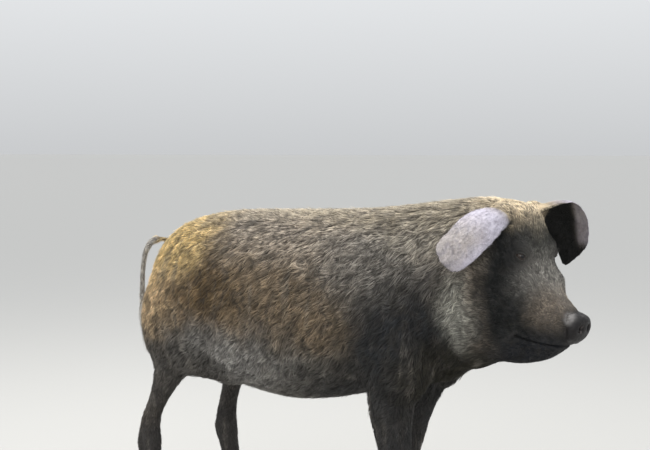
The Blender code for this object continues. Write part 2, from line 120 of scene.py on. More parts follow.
# The light of the room is stronger from above than from the sides.
way = tree.nodes.new("ShaderNodeTexCoord")
height = tree.nodes.new("ShaderNodeSeparateXYZ")
strength = tree.nodes.new("ShaderNodeMapRange")
tree.links.new(way.outputs["Generated"], height.inputs[0])
tree.links.new(height.outputs["Z"], strength.inputs["Value"])
tree.links.new(strength.outputs[0], background.inputs["Strength"])
for socket, number in zip(strength.inputs[1:5], (0.0, ZENITH_FROM, HORIZON_LIGHT, ZENITH_LIGHT)):
    socket.default_value = number
bpy.context.scene.view_settings.view_transform = "Standard"

bpy.ops.object.camera_add(
    location=(
        CAMERA_AT_X + math.sin(CAMERA_TURN) * CAMERA_OFF,
        -math.cos(CAMERA_TURN) * CAMERA_OFF,
        CAMERA_HEIGHT,
    ),
    rotation=(math.radians(90) - CAMERA_TILT, 0, CAMERA_TURN),
)
camera = bpy.context.object
camera.data.sensor_width = SENSOR
camera.data.lens = LENS
bpy.context.scene.camera = camera


# The skin -------------------------------------------------
# One hide over the whole body, from the rim of the snout to the coronets and the tip of the tail. The
# solids of flesh are fused and smoothed, drawn in by the depth of the coat, and then worked over as a
# modeller would: lids, folds, mouth and snout on the head, and creases in the neck, flanks and legs.

SKIN_GRAIN = 0.003
SKIN_TRIANGLES = 134_000  # before the eyes, snout and mouth are made finer
WELD = 0.00045  # moved out by this much, neighbouring solids run into each other
LEGS = [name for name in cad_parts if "leg_" in name and "claw" not in name]
FLESH = ["trunk", "neck", "head", "snout_disc", "ear_left", "ear_right", "tail", "tail_tassel", *LEGS]
EYES = ["eye_left", "eye_right"]
# How far the skin lies inside the solids, which reach to the tips of the bristles.
COAT_DEPTH = {"trunk": 0.0085, "neck": 0.0085, "head": 0.0032, "snout_disc": 0.0006, "ear": 0.0012}
COAT_DEPTH |= {"tail": 0.0025, "tail_tassel": 0.0025, "foreleg": 0.0032, "hindleg": 0.0032, "eye": 0.0}


def only(obj):
    """Leaves the object alone selected and active."""
    bpy.ops.object.select_all(action="DESELECT")
    obj.select_set(True)
    bpy.context.view_layer.objects.active = obj


def finish_with(obj, name, kind, **settings):
    """Adds a modifier to the object and applies it."""
    only(obj)
    modifier = obj.modifiers.new(name, kind)
    for setting, value in settings.items():
        setattr(modifier, setting, value)
    bpy.ops.object.modifier_apply(modifier=name)


def new_object(name, mesh):
    made = bpy.data.objects.new(name, mesh)
    bpy.context.scene.collection.objects.link(made)
    return made


def object_from(built, name):
    mesh = bpy.data.meshes.new(name)
    built.to_mesh(mesh)
    built.free()
    return new_object(name, mesh)


def numbers(items, name, width, kind=np.float32):
    found = np.empty(len(items) * width, kind)
    items.foreach_get(name, found)
    return found.reshape(-1, width)


def places_of(mesh):
    return numbers(mesh.vertices, "co", 3)


def normals_of(mesh):
    return numbers(mesh.vertex_normals, "vector", 3)


def edges_of(mesh):
    return numbers(mesh.edges, "vertices", 2, np.int32)


def put_places(mesh, places):
    mesh.vertices.foreach_set("co", places.astype(np.float32).ravel())
    mesh.update()


def store(mesh, name, values):
    """Keeps three numbers for each vertex, which the materials read."""
    kept = mesh.attributes.new(name, "FLOAT_VECTOR", "POINT").data
    kept.foreach_set("vector", values.astype(np.float32).ravel())


def middle_of(node):
    low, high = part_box(node)
    return (low + high) / 2


def spread_over(values, pairs, repeats, share=0.5):
    """Each vertex's row of values moved towards the mean of its neighbours', the given number of times."""
    one, two = pairs.T
    count = np.bincount(pairs.ravel(), minlength=len(values))[:, None]
    for _ in range(repeats):
        total = np.empty_like(values)
        for k in range(values.shape[1]):
            total[:, k] = np.bincount(one, values[two, k], len(values))
            total[:, k] += np.bincount(two, values[one, k], len(values))
        values = values + share * (total / count - values)
    return values


def eased(value, start, end):
    """0 before start and 1 after end, with a smooth rise between them."""
    t = np.clip((value - start) / (end - start), 0, 1)
    return t * t * (3 - 2 * t)


def bell(value, middle, width):
    """1 at the middle, falling to 0 on both sides of it."""
    return np.exp(-(((value - middle) / width) ** 2))


def body_part_of(name):
    """What the node is part of, as the tables of coat depth and bristles name it."""
    return name if name in COAT_DEPTH else name.split("_")[0]


# The solids together, and which of them each place on the skin is nearest to.
solids = bmesh.new()
solid_of_face = []
for name in FLESH + EYES:
    solids.from_mesh(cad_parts[name].data)
    solid_of_face += [name] * (len(solids.faces) - len(solid_of_face))
solids_tree = BVHTree.FromBMesh(solids)
part_names = sorted(COAT_DEPTH)
part_of_face = np.array([part_names.index(body_part_of(name)) for name in solid_of_face])

bmesh.ops.remove_doubles(solids, verts=solids.verts, dist=1e-5)
solids.normal_update()
outward = [vertex.normal.copy() for vertex in solids.verts]
for vertex, normal in zip(solids.verts, outward):
    vertex.co += normal * WELD
skin = object_from(solids, "skin")
finish_with(skin, "fuse", "REMESH", mode="VOXEL", voxel_size=SKIN_GRAIN)


def parts_on(mesh):
    """The number of the body part that each vertex belongs to."""
    nearest = [solids_tree.find_nearest(vertex.co)[2] for vertex in mesh.vertices]
    return part_of_face[np.array(nearest)]


def share_of(part, *names):
    """1 at the vertices of the named body parts and 0 elsewhere."""
    return np.isin(part, [part_names.index(name) for name in names]).astype(float)


def soft_share_of(repeats, *names):
    """A column of the same for the skin as it stands, spread that many times to the neighbours."""
    return spread_over(share_of(part, *names)[:, None], pairs, repeats)


pairs = edges_of(skin.data)
part = parts_on(skin.data)
places = places_of(skin.data).astype(float)
broad = soft_share_of(12, "trunk", "neck")
fine = soft_share_of(4, "ear", "eye", "snout_disc")
places = spread_over(places, pairs, 8)
places = spread_over(places, pairs, 14, 0.5 * (1 - 0.7 * fine))
places = spread_over(places, pairs, 40, 0.5 * broad)

# The thin edges of the ears come out ragged. Turns of spreading and drawing back smooth them at full size.
EAR_TURNS, DRAW_BACK = 45, -0.53
ear = np.flatnonzero(fine[:, 0] > 0.02)
new_number = np.full(len(places), -1)
new_number[ear] = np.arange(len(ear))
ear_pairs = new_number[pairs]
ear_pairs = ear_pairs[(ear_pairs >= 0).all(1)]
ear_share = soft_share_of(2, "ear")[ear]
for _ in range(EAR_TURNS):
    for move in (0.5, DRAW_BACK):
        places[ear] = spread_over(places[ear], ear_pairs, 1, move * ear_share)
put_places(skin.data, places)

# The trunk, neck and legs are smooth enough to do with fewer and larger faces.
group = skin.vertex_groups.new(name="plain")
plain = soft_share_of(6, "trunk", "neck", "foreleg", "hindleg")[:, 0]
for level in range(1, 11):
    group.add(np.flatnonzero(np.ceil(plain * 10) == level).tolist(), level / 10, "REPLACE")
ratio = SKIN_TRIANGLES / (2 * len(skin.data.polygons))
finish_with(skin, "thin", "DECIMATE", ratio=ratio, vertex_group="plain")
skin.vertex_groups.clear()

# The head's own frame: the poll at its origin, x the way the face points, y to the pig's left, z up.
UP = Vector((0, 0, 1))
sideways = (middle_of("eye_left") - middle_of("eye_right")).normalized()
forward = sideways.cross(UP).normalized()
EYE_AHEAD, EYE_BELOW = 0.0343, 0.1234  # of the poll
poll = (middle_of("eye_left") + middle_of("eye_right")) / 2 - forward * EYE_AHEAD + UP * EYE_BELOW
head_turn = Matrix((forward, UP.cross(forward), UP)).transposed()
snout = poll + head_turn @ Vector((0.165, 0, -0.268))
forward, poll, head_turn, snout = (np.array(kept) for kept in (forward, poll, head_turn, snout))


def in_head(points):
    """Places given in the head's own frame, for places in the room."""
    return (points - poll) @ head_turn


def made_finer(obj, near):
    """Halves the edges of the faces that near(places) picks."""
    built = bmesh.new()
    built.from_mesh(obj.data)
    picked = near(np.array([vertex.co for vertex in built.verts]))
    edges = [edge for edge in built.edges if picked[edge.verts[0].index] and picked[edge.verts[1].index]]
    bmesh.ops.subdivide_edges(built, edges=edges, cuts=1, use_grid_fill=True, smooth=0.3)
    bmesh.ops.triangulate(built, faces=[face for face in built.faces if len(face.verts) > 4])
    built.to_mesh(obj.data)
    built.free()


def from_eyes(at):
    """How far each place is from the nearer eye."""
    return np.min([np.linalg.norm(at - np.array(middle_of(name)), axis=1) for name in EYES], axis=0)


def around_snout(at):
    """Picks the snout and a band along the mouth."""
    x, _, z = in_head(at).T
    return (x > 0.078) & (z < -0.19) | (x > 0.022) & (np.abs(z + 0.3) < 0.028)


made_finer(skin, around_snout)
made_finer(skin, lambda at: from_eyes(at) < 0.030)
made_finer(skin, lambda at: from_eyes(at) < 0.021)

part = parts_on(skin.data)
pairs = edges_of(skin.data)
depth = np.array([COAT_DEPTH[name] for name in part_names])[part][:, None]
depth = spread_over(depth, pairs, 14)
places = places_of(skin.data).astype(float)
normals = normals_of(skin.data)
# The tail's own tip runs only part of the way down inside its tassel.
tassel = share_of(part, "tail_tassel") > 0
tassel_low, tassel_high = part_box("tail_tassel")
TASSEL_TAPER, TASSEL_CORE = 0.72, 0.55
tapered = eased(tassel_high.z - places[tassel, 2], 0.0, 0.030)
for k in (0, 1):
    axis = np.polyval(np.polyfit(places[tassel, 2], places[tassel, k], 2), places[tassel, 2])
    places[tassel, k] += (axis - places[tassel, k]) * TASSEL_TAPER * tapered
places[tassel, 2] = tassel_high.z - (tassel_high.z - places[tassel, 2]) * TASSEL_CORE
depth[:, 0] *= eased(from_eyes(places), 0.014, 0.040)
places -= normals * depth
put_places(skin.data, places)


def beside(points, path):
    """How far each point lies from the path. Both are flat, given as x and z."""
    path = np.array(path)
    nearest = np.full(len(points), 1e9)
    for start, end in zip(path, path[1:]):
        along = end - start
        t = np.clip((points - start) @ along / (along @ along), 0, 1)
        nearest = np.minimum(nearest, np.linalg.norm(points - start - t[:, None] * along, axis=1))
    return nearest


def crease(points, path, width, depth, lips=0.35):
    """How far the skin rises along a fold: down by depth in the middle and up a little on both sides."""
    off = beside(points, path) / width
    return depth * (lips * bell(off, 2, 1) - bell(off, 0, 1))


# Folds on both sides of the head, as x and z in its own frame, with half the fold's width and its depth.
MOUTH = [(0.131, -0.319), (0.112, -0.317), (0.092, -0.3155), (0.068, -0.312)]
MOUTH += [(0.048, -0.306), (0.033, -0.297)]
HEAD_FOLDS = [
    (MOUTH, 0.0020, 0.0050),
    ([(0.033, -0.297), (0.022, -0.284), (0.018, -0.262)], 0.0060, 0.0022),  # behind the corner of the mouth
    ([(0.127, -0.238), (0.131, -0.262), (0.130, -0.290), (0.122, -0.309)], 0.0042, 0.0030),  # behind the disc
    ([(0.114, -0.216), (0.116, -0.238), (0.112, -0.262), (0.104, -0.284)], 0.0034, 0.0020),
    ([(0.103, -0.202), (0.102, -0.228), (0.095, -0.254)], 0.0034, 0.0018),
    ([(0.091, -0.189), (0.087, -0.214), (0.078, -0.240)], 0.0036, 0.0015),
    ([(0.074, -0.172), (0.066, -0.200), (0.052, -0.228)], 0.0055, 0.0022),  # from the face down the cheek
    ([(0.050, -0.160), (0.040, -0.192), (0.022, -0.226), (0.000, -0.246)], 0.0065, 0.0026),
    ([(0.072, -0.338), (0.040, -0.333), (0.012, -0.330)], 0.0080, 0.0014),  # under the lower lip
    ([(-0.016, -0.340), (-0.032, -0.316), (-0.040, -0.275), (-0.036, -0.230)], 0.0120, 0.0034),  # jowl
    ([(-0.048, -0.345), (-0.066, -0.315), (-0.076, -0.260), (-0.066, -0.190)], 0.0130, 0.0040),
]
# Creases on both sides of the neck and trunk, as x and z.
BODY_FOLDS = [
    ([(0.352, 0.800), (0.332, 0.700), (0.330, 0.600), (0.352, 0.500)], 0.015, 0.0055),
    ([(0.306, 0.810), (0.286, 0.700), (0.284, 0.590), (0.305, 0.490)], 0.017, 0.0050),
    ([(0.262, 0.800), (0.246, 0.710), (0.246, 0.640)], 0.018, 0.0040),
    ([(0.118, 0.780), (0.100, 0.680), (0.096, 0.570), (0.110, 0.470), (0.150, 0.425)], 0.026, 0.0070),
    ([(0.040, 0.740), (0.026, 0.640), (0.026, 0.540)], 0.030, 0.0030),
    ([(-0.262, 0.640), (-0.268, 0.550), (-0.285, 0.470), (-0.330, 0.410)], 0.026, 0.0080),
    ([(-0.230, 0.520), (-0.245, 0.450), (-0.275, 0.400)], 0.016, 0.0040),
    ([(-0.470, 0.640), (-0.440, 0.540), (-0.430, 0.450)], 0.026, 0.0035),
]
# Creases across the legs: how high up, half the width and the depth.
LEG_FOLDS = [(0.245, 0.008, 0.0020), (0.225, 0.006, 0.0016), (0.074, 0.005, 0.0022), (0.061, 0.004, 0.0016)]

side_on_head = in_head(places)[:, [0, 2]]
rise = np.zeros(len(places))
on_head = share_of(part, "head", "snout_disc", "eye")
# The folds fade out towards the middle of the chin, throat, back and belly, where both sides meet.
to_side = eased(np.abs(normals @ head_turn[:, 1]), 0.25, 0.60)
for path, width, fold in HEAD_FOLDS:
    # The mouth itself, which is the deepest, runs on round the front.
    fade = to_side if fold < 0.005 else 1
    rise += on_head * crease(side_on_head, path, width, fold) * fade
on_body = share_of(part, "trunk", "neck") * eased(np.abs(normals[:, 1]), 0.25, 0.65)
for path, width, fold in BODY_FOLDS:
    rise += on_body * crease(places[:, [0, 2]], path, width, fold)
on_leg = share_of(part, "foreleg", "hindleg")
for high, width, fold in LEG_FOLDS:
    rise += on_leg * crease(places[:, [0, 2]], [(-1, high), (1, high)], width, fold)
rise = spread_over(rise[:, None], pairs, 1)

# The lips swell beside the mouth.
LIP_OFF, LIP_WIDTH, LIP_SWELL = 0.0085, 0.0045, 0.0020
rise[:, 0] += on_head * bell(beside(side_on_head, MOUTH), LIP_OFF, LIP_WIDTH) * LIP_SWELL

# The skin swells into a soft band above the claws, and round the root of each dewclaw.
BAND_HEIGHT, BAND_WIDTH, BAND_SWELL = 0.060, 0.011, 0.0042
rise[:, 0] += on_leg * BAND_SWELL * bell(places[:, 2], BAND_HEIGHT, BAND_WIDTH)
DEWCLAW_ROUND, DEWCLAW_SWELL, DEWCLAW_ROOT = 0.011, 0.0055, 0.004
for name in [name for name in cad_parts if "dewclaw" in name]:
    low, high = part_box(name)
    from_root = places - np.array((high.x - DEWCLAW_ROOT, (low.y + high.y) / 2, high.z - DEWCLAW_ROOT))
    rise[:, 0] += on_leg * DEWCLAW_SWELL * np.exp(-((from_root**2).sum(1) / DEWCLAW_ROUND**2))
places += normals * rise

# Each ear is cupped, with its edges bent in towards the hollow side, and its tip turned up a little.
EAR_FACING = {1: (-0.15, 0.80, 0.58), -1: (-0.10, -0.62, 0.78)}  # the outer side, in the head's frame
EAR_CUP, EAR_TIP_TURN, EAR_CREASE = 0.0085, 0.0050, 0.0016
ear_weight = soft_share_of(6, "ear")[:, 0]
ear_edge = np.zeros(len(places))  # 1 at each ear's front edge, -1 at its back edge
ear_down = np.zeros(len(places))  # 1 at its tip, -1 at its root
for side, facing in EAR_FACING.items():
    ear = np.flatnonzero((ear_weight > 0.01) & (np.sign(in_head(places)[:, 1]) == side))
    off = places[ear] - places[ear].mean(0)
    axes = np.linalg.eigh(off.T @ off)[1]  # the thin way, across and along
    out = axes[:, 0] * np.sign(axes[:, 0] @ (head_turn @ facing))
    away = axes[:, 2] * np.sign(axes[:, 2] @ (places[ear].mean(0) - poll))
    across, along = off @ axes[:, 1], off @ away
    across, along = across / np.abs(across).max(), along / np.abs(along).max()
    ear_edge[ear] = across * np.sign(axes[:, 1] @ forward)
    ear_down[ear] = along
    bend = EAR_TIP_TURN * eased(along, 0.2, 1.0) - EAR_CUP * across**2 * eased(along, -0.9, -0.2)
    bend += EAR_CREASE * np.cos(7 * across + 1.5 * along) * eased(along, -0.8, 0.0) * (1 - across**2)
    places[ear] += (ear_weight[ear] * bend)[:, None] * out

# Nostrils: deep pits in the disc, a little higher than they are wide.
NOSTRIL_OFF, NOSTRIL_HEIGHT, NOSTRIL_AHEAD = 0.0165, -0.277, 0.140
NOSTRIL_WIDE, NOSTRIL_TALL, NOSTRIL_DEPTH = 0.0072, 0.0092, 0.011
x, y, z = in_head(places).T
from_pit = np.hypot((np.abs(y) - NOSTRIL_OFF) / NOSTRIL_WIDE, (z - NOSTRIL_HEIGHT) / NOSTRIL_TALL)
pit = on_head * (x > NOSTRIL_AHEAD) * NOSTRIL_DEPTH * eased(1 - from_pit, 0, 0.45)
places -= pit[:, None] * forward
put_places(skin.data, places)

# Eyelids: the skin is wrapped over each eyeball, and drawn in behind it where the lids part.
LID_THICK = 0.0013
EYE_LONG, EYE_HIGH = 0.0106, 0.0052  # half of the gap between the lids
UPPER_LID, LOWER_LID, GAP_CURVE = 1.1, 0.9, 0.7  # how high each lid arches, and how round the arch is
EYE_SLANT = math.radians(16)  # the inner corner is the lower one
SKIN_BEHIND = 0.0022  # how far the skin is drawn in behind the front of the eyeball
RIM_OFF, RIM_WIDTH, RIM_SWELL = 0.0012, 0.0010, 0.0006
# Folds round the lids: how far from the eye's middle, half the width and the depth.
LID_FOLDS = [(0.0128, 0.0017, 0.0019), (0.0175, 0.0022, 0.0017), (0.0235, 0.0030, 0.0015)]
# The brow and the cheek bone: how far above the eye's middle, how much they rise, how tall and how wide.
ORBIT = [(0.021, 0.0050, 0.0100, 0.024), (-0.019, 0.0028, 0.0090, 0.020)]
lid_rims = []
for name in EYES:
    side = 1 if name == "eye_left" else -1
    centre = np.array(middle_of(name))
    low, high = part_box(name)
    radius = (high.x - low.x) / 2
    from_centre = places - centre
    far = np.linalg.norm(from_centre, axis=1)
    out = normals_of(skin.data)[far < 0.024].mean(0)
    out /= np.linalg.norm(out)
    long = forward * math.cos(EYE_SLANT) - np.array(UP) * math.sin(EYE_SLANT)
    long -= out * (long @ out)
    long /= np.linalg.norm(long)
    up = np.cross(out, long) * side * -1
    along, above, ahead = from_centre @ long, from_centre @ up, from_centre @ out
    gap = EYE_HIGH * np.clip(1 - (along / EYE_LONG) ** 2, 0, None) ** GAP_CURVE
    gap *= np.where(above > 0, UPPER_LID, LOWER_LID)
    between = np.abs(along) < EYE_LONG
    inside = eased(gap - np.abs(above), -0.0004, 0.0006) * between * (ahead > 0)
    near = 1 - eased(far, radius + 0.002, radius + 0.016)
    lid = np.clip(radius + LID_THICK - far, 0, None) * near * (ahead > 0)
    rim = bell(np.abs(above) - gap, RIM_OFF, RIM_WIDTH) * between * near
    outside_far = far + (lid + RIM_SWELL * rim)
    new_far = outside_far * (1 - inside) + np.minimum(outside_far, radius - SKIN_BEHIND) * inside
    # The folds follow the shape of the opening.
    reach = np.sqrt((along / 1.25) ** 2 + (above * np.where(above > 0, 1.25, 1.0)) ** 2)
    for fold_at, width, fold in LID_FOLDS:
        dip = fold * bell(reach, fold_at, width) * (ahead > -0.004) * (far < 0.034)
        swell = 0.6 * fold * bell(reach - fold_at, 0.0032, width) * (far < 0.034)
        new_far += swell - dip
    for rise_at, risen, tall, wide in ORBIT:
        bulge = risen * np.exp(-(((above - rise_at) / tall) ** 2) - (along / wide) ** 2)
        new_far += bulge * (far < 0.055) * (ahead > -0.02)
    places = centre + from_centre * (new_far / np.maximum(far, 1e-6))[:, None]
    lid_rims.append((centre, out, long, up, radius))
put_places(skin.data, places)

# The skin runs down between the claws, inside their upper rims.
CORONET, SKIN_BELOW = 0.052, 0.009
sink = (1 - eased(places[:, 2], CORONET - 0.012, CORONET)) * on_leg * SKIN_BELOW
places[:, 2] -= sink
put_places(skin.data, places)


# Markings -------------------------------------------------
# The hide is slate grey to black, and the bristles over it are cream on the back, golden on the rump and
# brown on the flanks. The cream along the top of the back is partly the bristles' own colour and partly
# painted highlight, where the light from above falls on it. Dried mud lies on the neck, cheeks, belly and
# legs. Skin and coat read one set of markings, laid out as soft ovals in the room's metres, with their edges
# broken up.

# Each marking: where its middle is, its reach along x, y and z, how soft its edge is, how strong it is,
# and its colour. Later ones lie over earlier ones.
GROUND_COLOUR = (0.290, 0.235, 0.180)
MARKINGS = [
    ((-0.05, 0.0, 0.78), (0.50, 0.9, 0.090), 0.50, 1.0, (0.520, 0.445, 0.360)),  # upper flank
    ((-0.06, 0.0, 0.60), (0.34, 0.9, 0.13), 0.45, 0.9, (0.295, 0.220, 0.140)),  # brown flank
    ((-0.32, 0.0, 0.62), (0.15, 0.9, 0.15), 0.55, 0.8, (0.180, 0.115, 0.050)),
    ((0.20, 0.0, 0.72), (0.15, 0.9, 0.12), 0.50, 0.8, (0.320, 0.300, 0.270)),  # grey over the shoulder
    ((-0.10, 0.0, 0.40), (0.60, 0.9, 0.12), 0.40, 0.9, (0.160, 0.148, 0.124)),  # belly
    ((-0.26, 0.0, 0.455), (0.20, 0.9, 0.080), 0.95, 0.9, (0.430, 0.415, 0.390)),  # fold of the flank
    ((0.265, 0.0, 0.50), (0.155, 0.9, 0.20), 0.45, 1.0, (0.034, 0.036, 0.039)),  # shoulder
    ((0.17, 0.0, 0.34), (0.22, 0.9, 0.14), 0.40, 1.0, (0.048, 0.047, 0.046)),
    ((0.36, 0.0, 0.46), (0.13, 0.9, 0.08), 0.50, 0.9, (0.030, 0.026, 0.014)),  # throat
    ((-0.56, 0.0, 0.64), (0.16, 0.9, 0.15), 0.60, 1.0, (0.860, 0.630, 0.370)),  # back of the ham
    ((-0.50, 0.0, 0.77), (0.20, 0.9, 0.11), 0.45, 1.0, (0.860, 0.640, 0.300)),  # golden rump
    # Painted shade: the lower ham is painted darker where it turns under towards the hind leg.
    ((-0.44, 0.0, 0.40), (0.20, 0.9, 0.11), 0.40, 0.9, (0.110, 0.100, 0.088)),
    ((0.31, 0.0, 0.84), (0.16, 0.9, 0.10), 0.50, 0.8, (0.480, 0.430, 0.350)),  # top of the neck
    # Partly painted highlight: the top of the back is painted paler where the light from above falls, over
    # the bristles' own cream.
    ((0.00, 0.0, 0.880), (0.62, 0.28, 0.075), 0.50, 0.9, (0.500, 0.430, 0.320)),  # cream along the back
    ((0.10, 0.0, 0.15), (0.90, 0.9, 0.20), 0.20, 0.9, (0.042, 0.042, 0.042)),  # legs
    ((0.10, 0.0, 0.03), (0.90, 0.9, 0.06), 0.50, 0.5, (0.120, 0.105, 0.085)),  # mud on the feet
]
# The ears' outer colour is partly painted sheen of the light from above; the near black of their hollows is
# partly painted shade.
EAR_COLOUR_AND_SHEEN, EAR_BLOTCH = (0.700, 0.665, 0.760), (0.440, 0.400, 0.460)
EAR_HOLLOW_COLOUR_AND_SHADE = (0.008, 0.009, 0.007)
TAIL_COLOUR = (0.560, 0.530, 0.480)
WET_STREAK, PALE_STREAK, DARK_MUD = (0.070, 0.062, 0.055), (0.330, 0.300, 0.255), (0.050, 0.046, 0.040)
# These are placed in the head's frame. Pale mud lies on each cheek.
HEAD_MARKINGS = [
    ((0.02, 0.0, -0.19), (0.16, 0.15, 0.22), 0.20, 1.0, (0.012, 0.0135, 0.013)),  # whole head
    ((0.00, 0.0, -0.005), (0.11, 0.085, 0.065), 0.50, 0.95, (0.800, 0.660, 0.460)),  # cream poll
    ((0.05, 0.0, -0.09), (0.06, 0.06, 0.06), 0.50, 0.6, (0.120, 0.118, 0.100)),  # forehead
    ((0.080, 0.0, -0.175), (0.065, 0.105, 0.060), 0.60, 0.95, (0.380, 0.360, 0.320)),
    *[((-0.078, y, -0.245), (0.034, 0.08, 0.075), 0.80, 0.85, (0.520, 0.510, 0.440)) for y in (-0.13, 0.13)],
    ((0.085, 0.0, -0.240), (0.045, 0.09, 0.050), 0.50, 0.9, (0.320, 0.265, 0.205)),  # tan muzzle
    ((0.055, 0.0, -0.335), (0.11, 0.12, 0.045), 0.40, 1.0, (0.013, 0.015, 0.020)),  # lower jaw
]


# Each of these adds nodes to the material that is being made, whose nodes are in tree.
def add_node(kind, **settings):
    node = tree.nodes.new("ShaderNode" + kind)
    for name, value in settings.items():
        setattr(node, name, value)
    return node


def feed(value, socket):
    """Links the value to the socket, or sets it there where it is plain numbers."""
    if isinstance(value, bpy.types.NodeSocket):
        tree.links.new(value, socket)
    else:
        socket.default_value = value


def vector_sum(operation, one, two=(0, 0, 0)):
    node = add_node("VectorMath", operation=operation)
    feed(one, node.inputs[0])
    feed(two, node.inputs[1])
    return node.outputs["Value" if operation in ("LENGTH", "DOT_PRODUCT") else "Vector"]


def sum_of(operation, one, two=0.0, clamp=False):
    node = add_node("Math", operation=operation, use_clamp=clamp)
    feed(one, node.inputs[0])
    feed(two, node.inputs[1])
    return node.outputs[0]


def ranged(value, start, end, low=0.0, high=1.0):
    node = add_node("MapRange", interpolation_type="SMOOTHSTEP")
    for socket, number in zip(node.inputs, (value, start, end, low, high)):
        feed(number, socket)
    return node.outputs[0]


def mixed(share, one, two, blend="MIX"):
    node = add_node("Mix", data_type="RGBA", blend_type=blend)
    feed(share, node.inputs["Factor"])
    for socket, colour in ((node.inputs[6], one), (node.inputs[7], two)):
        feed((*colour, 1) if isinstance(colour, tuple) else colour, socket)
    return node.outputs[2]


def noise(place, scale, detail=2.0, colour=False):
    """Noise at the place. scale is its number of grains in a metre, or three of them along x, y and z."""
    if isinstance(scale, tuple):
        place, scale = vector_sum("MULTIPLY", place, scale), 1.0
    node = add_node("TexNoise")
    tree.links.new(place, node.inputs["Vector"])
    node.inputs["Scale"].default_value = scale
    node.inputs["Detail"].default_value = detail
    return node.outputs["Color" if colour else "Fac"]


def oval(place, middle, reach, soft):
    """1 inside an oval and 0 outside it."""
    off = vector_sum("DIVIDE", vector_sum("SUBTRACT", place, middle), reach)
    return ranged(vector_sum("LENGTH", off), 1 - soft, 1 + soft, 1.0, 0.0)


def painted(colour, place, ovals):
    """The colour with soft ovals of other colours laid over it, as the table of markings gives them."""
    for middle, reach, soft, strength, paint in ovals:
        share = sum_of("MULTIPLY", oval(place, middle, reach, soft), strength)
        colour = mixed(share, colour, paint)
    return colour


def flecked(colour, grain, start, end, most, fleck):
    """The colour with flecks of another where the grain rises from start to end."""
    return mixed(ranged(grain, start, end, 0.0, most), colour, fleck)


def scaled(vector, amount):
    node = add_node("VectorMath", operation="SCALE")
    tree.links.new(vector, node.inputs[0])
    tree.links.new(amount, node.inputs["Scale"])
    return node.outputs["Vector"]


def three_of(vector):
    """The x, y and z of a vector."""
    node = add_node("SeparateXYZ")
    tree.links.new(vector, node.inputs[0])
    return node.outputs


def stored(name, output="Vector"):
    return add_node("Attribute", attribute_name=name).outputs[output]


def roughen(height, strength, distance):
    """Gives the shader a surface that rises with the height, by up to the distance."""
    bump = add_node("Bump")
    bump.inputs["Strength"].default_value = strength
    bump.inputs["Distance"].default_value = distance
    tree.links.new(height, bump.inputs["Height"])
    tree.links.new(bump.outputs["Normal"], shader.inputs["Normal"])


def room_place():
    return add_node("TexCoord").outputs["Object"]


def head_place(place):
    """The place in the head's frame."""
    turned = add_node("VectorRotate", rotation_type="Z_AXIS")
    feed(vector_sum("SUBTRACT", place, tuple(poll)), turned.inputs["Vector"])
    feed(-math.atan2(forward[1], forward[0]), turned.inputs["Angle"])
    return turned.outputs[0]


def markings():
    """The colour of the animal at each place, skin or bristle."""
    place = room_place()
    wander = vector_sum("SUBTRACT", noise(place, 13.0, 3.0, True), (0.5, 0.5, 0.5))
    broken = vector_sum("ADD", place, vector_sum("MULTIPLY", wander, (0.13, 0.13, 0.11)))
    colour = painted(GROUND_COLOUR, broken, MARKINGS)
    # Streaks run down the flanks, where wet mud and matted bristles have dried.
    streak = noise(broken, (42.0, 42.0, 7.0), 3.0)
    colour = flecked(colour, streak, 0.42, 0.72, 0.55, WET_STREAK)
    pale = noise(place, (30.0, 30.0, 5.0), 3.0)
    colour = flecked(colour, pale, 0.56, 0.74, 0.40, PALE_STREAK)
    a_little = vector_sum("MULTIPLY", wander, (0.05, 0.05, 0.05))
    at_head = head_place(vector_sum("ADD", place, a_little))
    colour = painted(colour, at_head, HEAD_MARKINGS)
    mud = noise(broken, (70.0, 70.0, 16.0), 3.0)
    colour = flecked(colour, mud, 0.45, 0.70, 0.55, DARK_MUD)
    # The ears' outer sides, partly painted sheen, their inner sides, partly painted shade, and the tail.
    outer_ear, inner_ear, tail = three_of(stored("parts"))
    at_poll = oval(at_head, (-0.01, 0.0, -0.01), (0.10, 0.090, 0.08), 0.40)
    ear = sum_of("SUBTRACT", outer_ear, at_poll, clamp=True)
    ear_colour_and_sheen = flecked(EAR_COLOUR_AND_SHEEN, noise(place, 38.0, 4.0), 0.42, 0.70, 0.5, EAR_BLOTCH)
    colour = mixed(ear, colour, ear_colour_and_sheen)
    colour = mixed(inner_ear, colour, EAR_HOLLOW_COLOUR_AND_SHADE)
    colour = mixed(tail, colour, TAIL_COLOUR)
    return colour, place, at_head


# The hide's own finish: fine wrinkles and pores, and bare moist skin on the snout, with painted shade in the
# nostril pits.
BETWEEN_BRISTLES = (0.62, 0.60, 0.60)  # how much darker the skin is than the bristles over it
SHORT_HAIR_COLOUR, WRINKLE_COLOUR = (0.020, 0.019, 0.018), (0.045, 0.042, 0.042)
SNOUT_COLOUR, SNOUT_BLOTCH = (0.011, 0.0095, 0.0095), (0.17, 0.145, 0.14)
SNOUT_OVAL = ((0.150, 0.0, -0.279), (0.030, 0.055, 0.046), 0.12)  # as in the table of markings
# A pale patch on the right of the disc's rim.
PALE_RIM = ((0.134, -0.026, -0.250), (0.013, 0.016, 0.012), 0.45, 0.75, (0.310, 0.295, 0.285))
# Painted shade: the inside of each nostril pit is painted darker, as the shade that falls in it.
PIT_REACH, PAINTED_PIT_SHADE = (0.022, 0.0055, 0.0075), (0.006, 0.005, 0.005)
HAIR_GRAINS, PORES = 800.0, 520.0  # in a metre
HAIR_DRAWN = 0.86  # how far the grain of the short hairs is drawn out along the lie of the coat

hide, tree, shader = new_material("hide")
colour, place, at_head = markings()
# Between the bristles the skin is darker than they are, but less so on the ears.
uneven = ranged(three_of(stored("parts"))["X"], 0.0, 0.5, 1.0, 0.25)
colour = mixed(uneven, colour, BETWEEN_BRISTLES, "MULTIPLY")
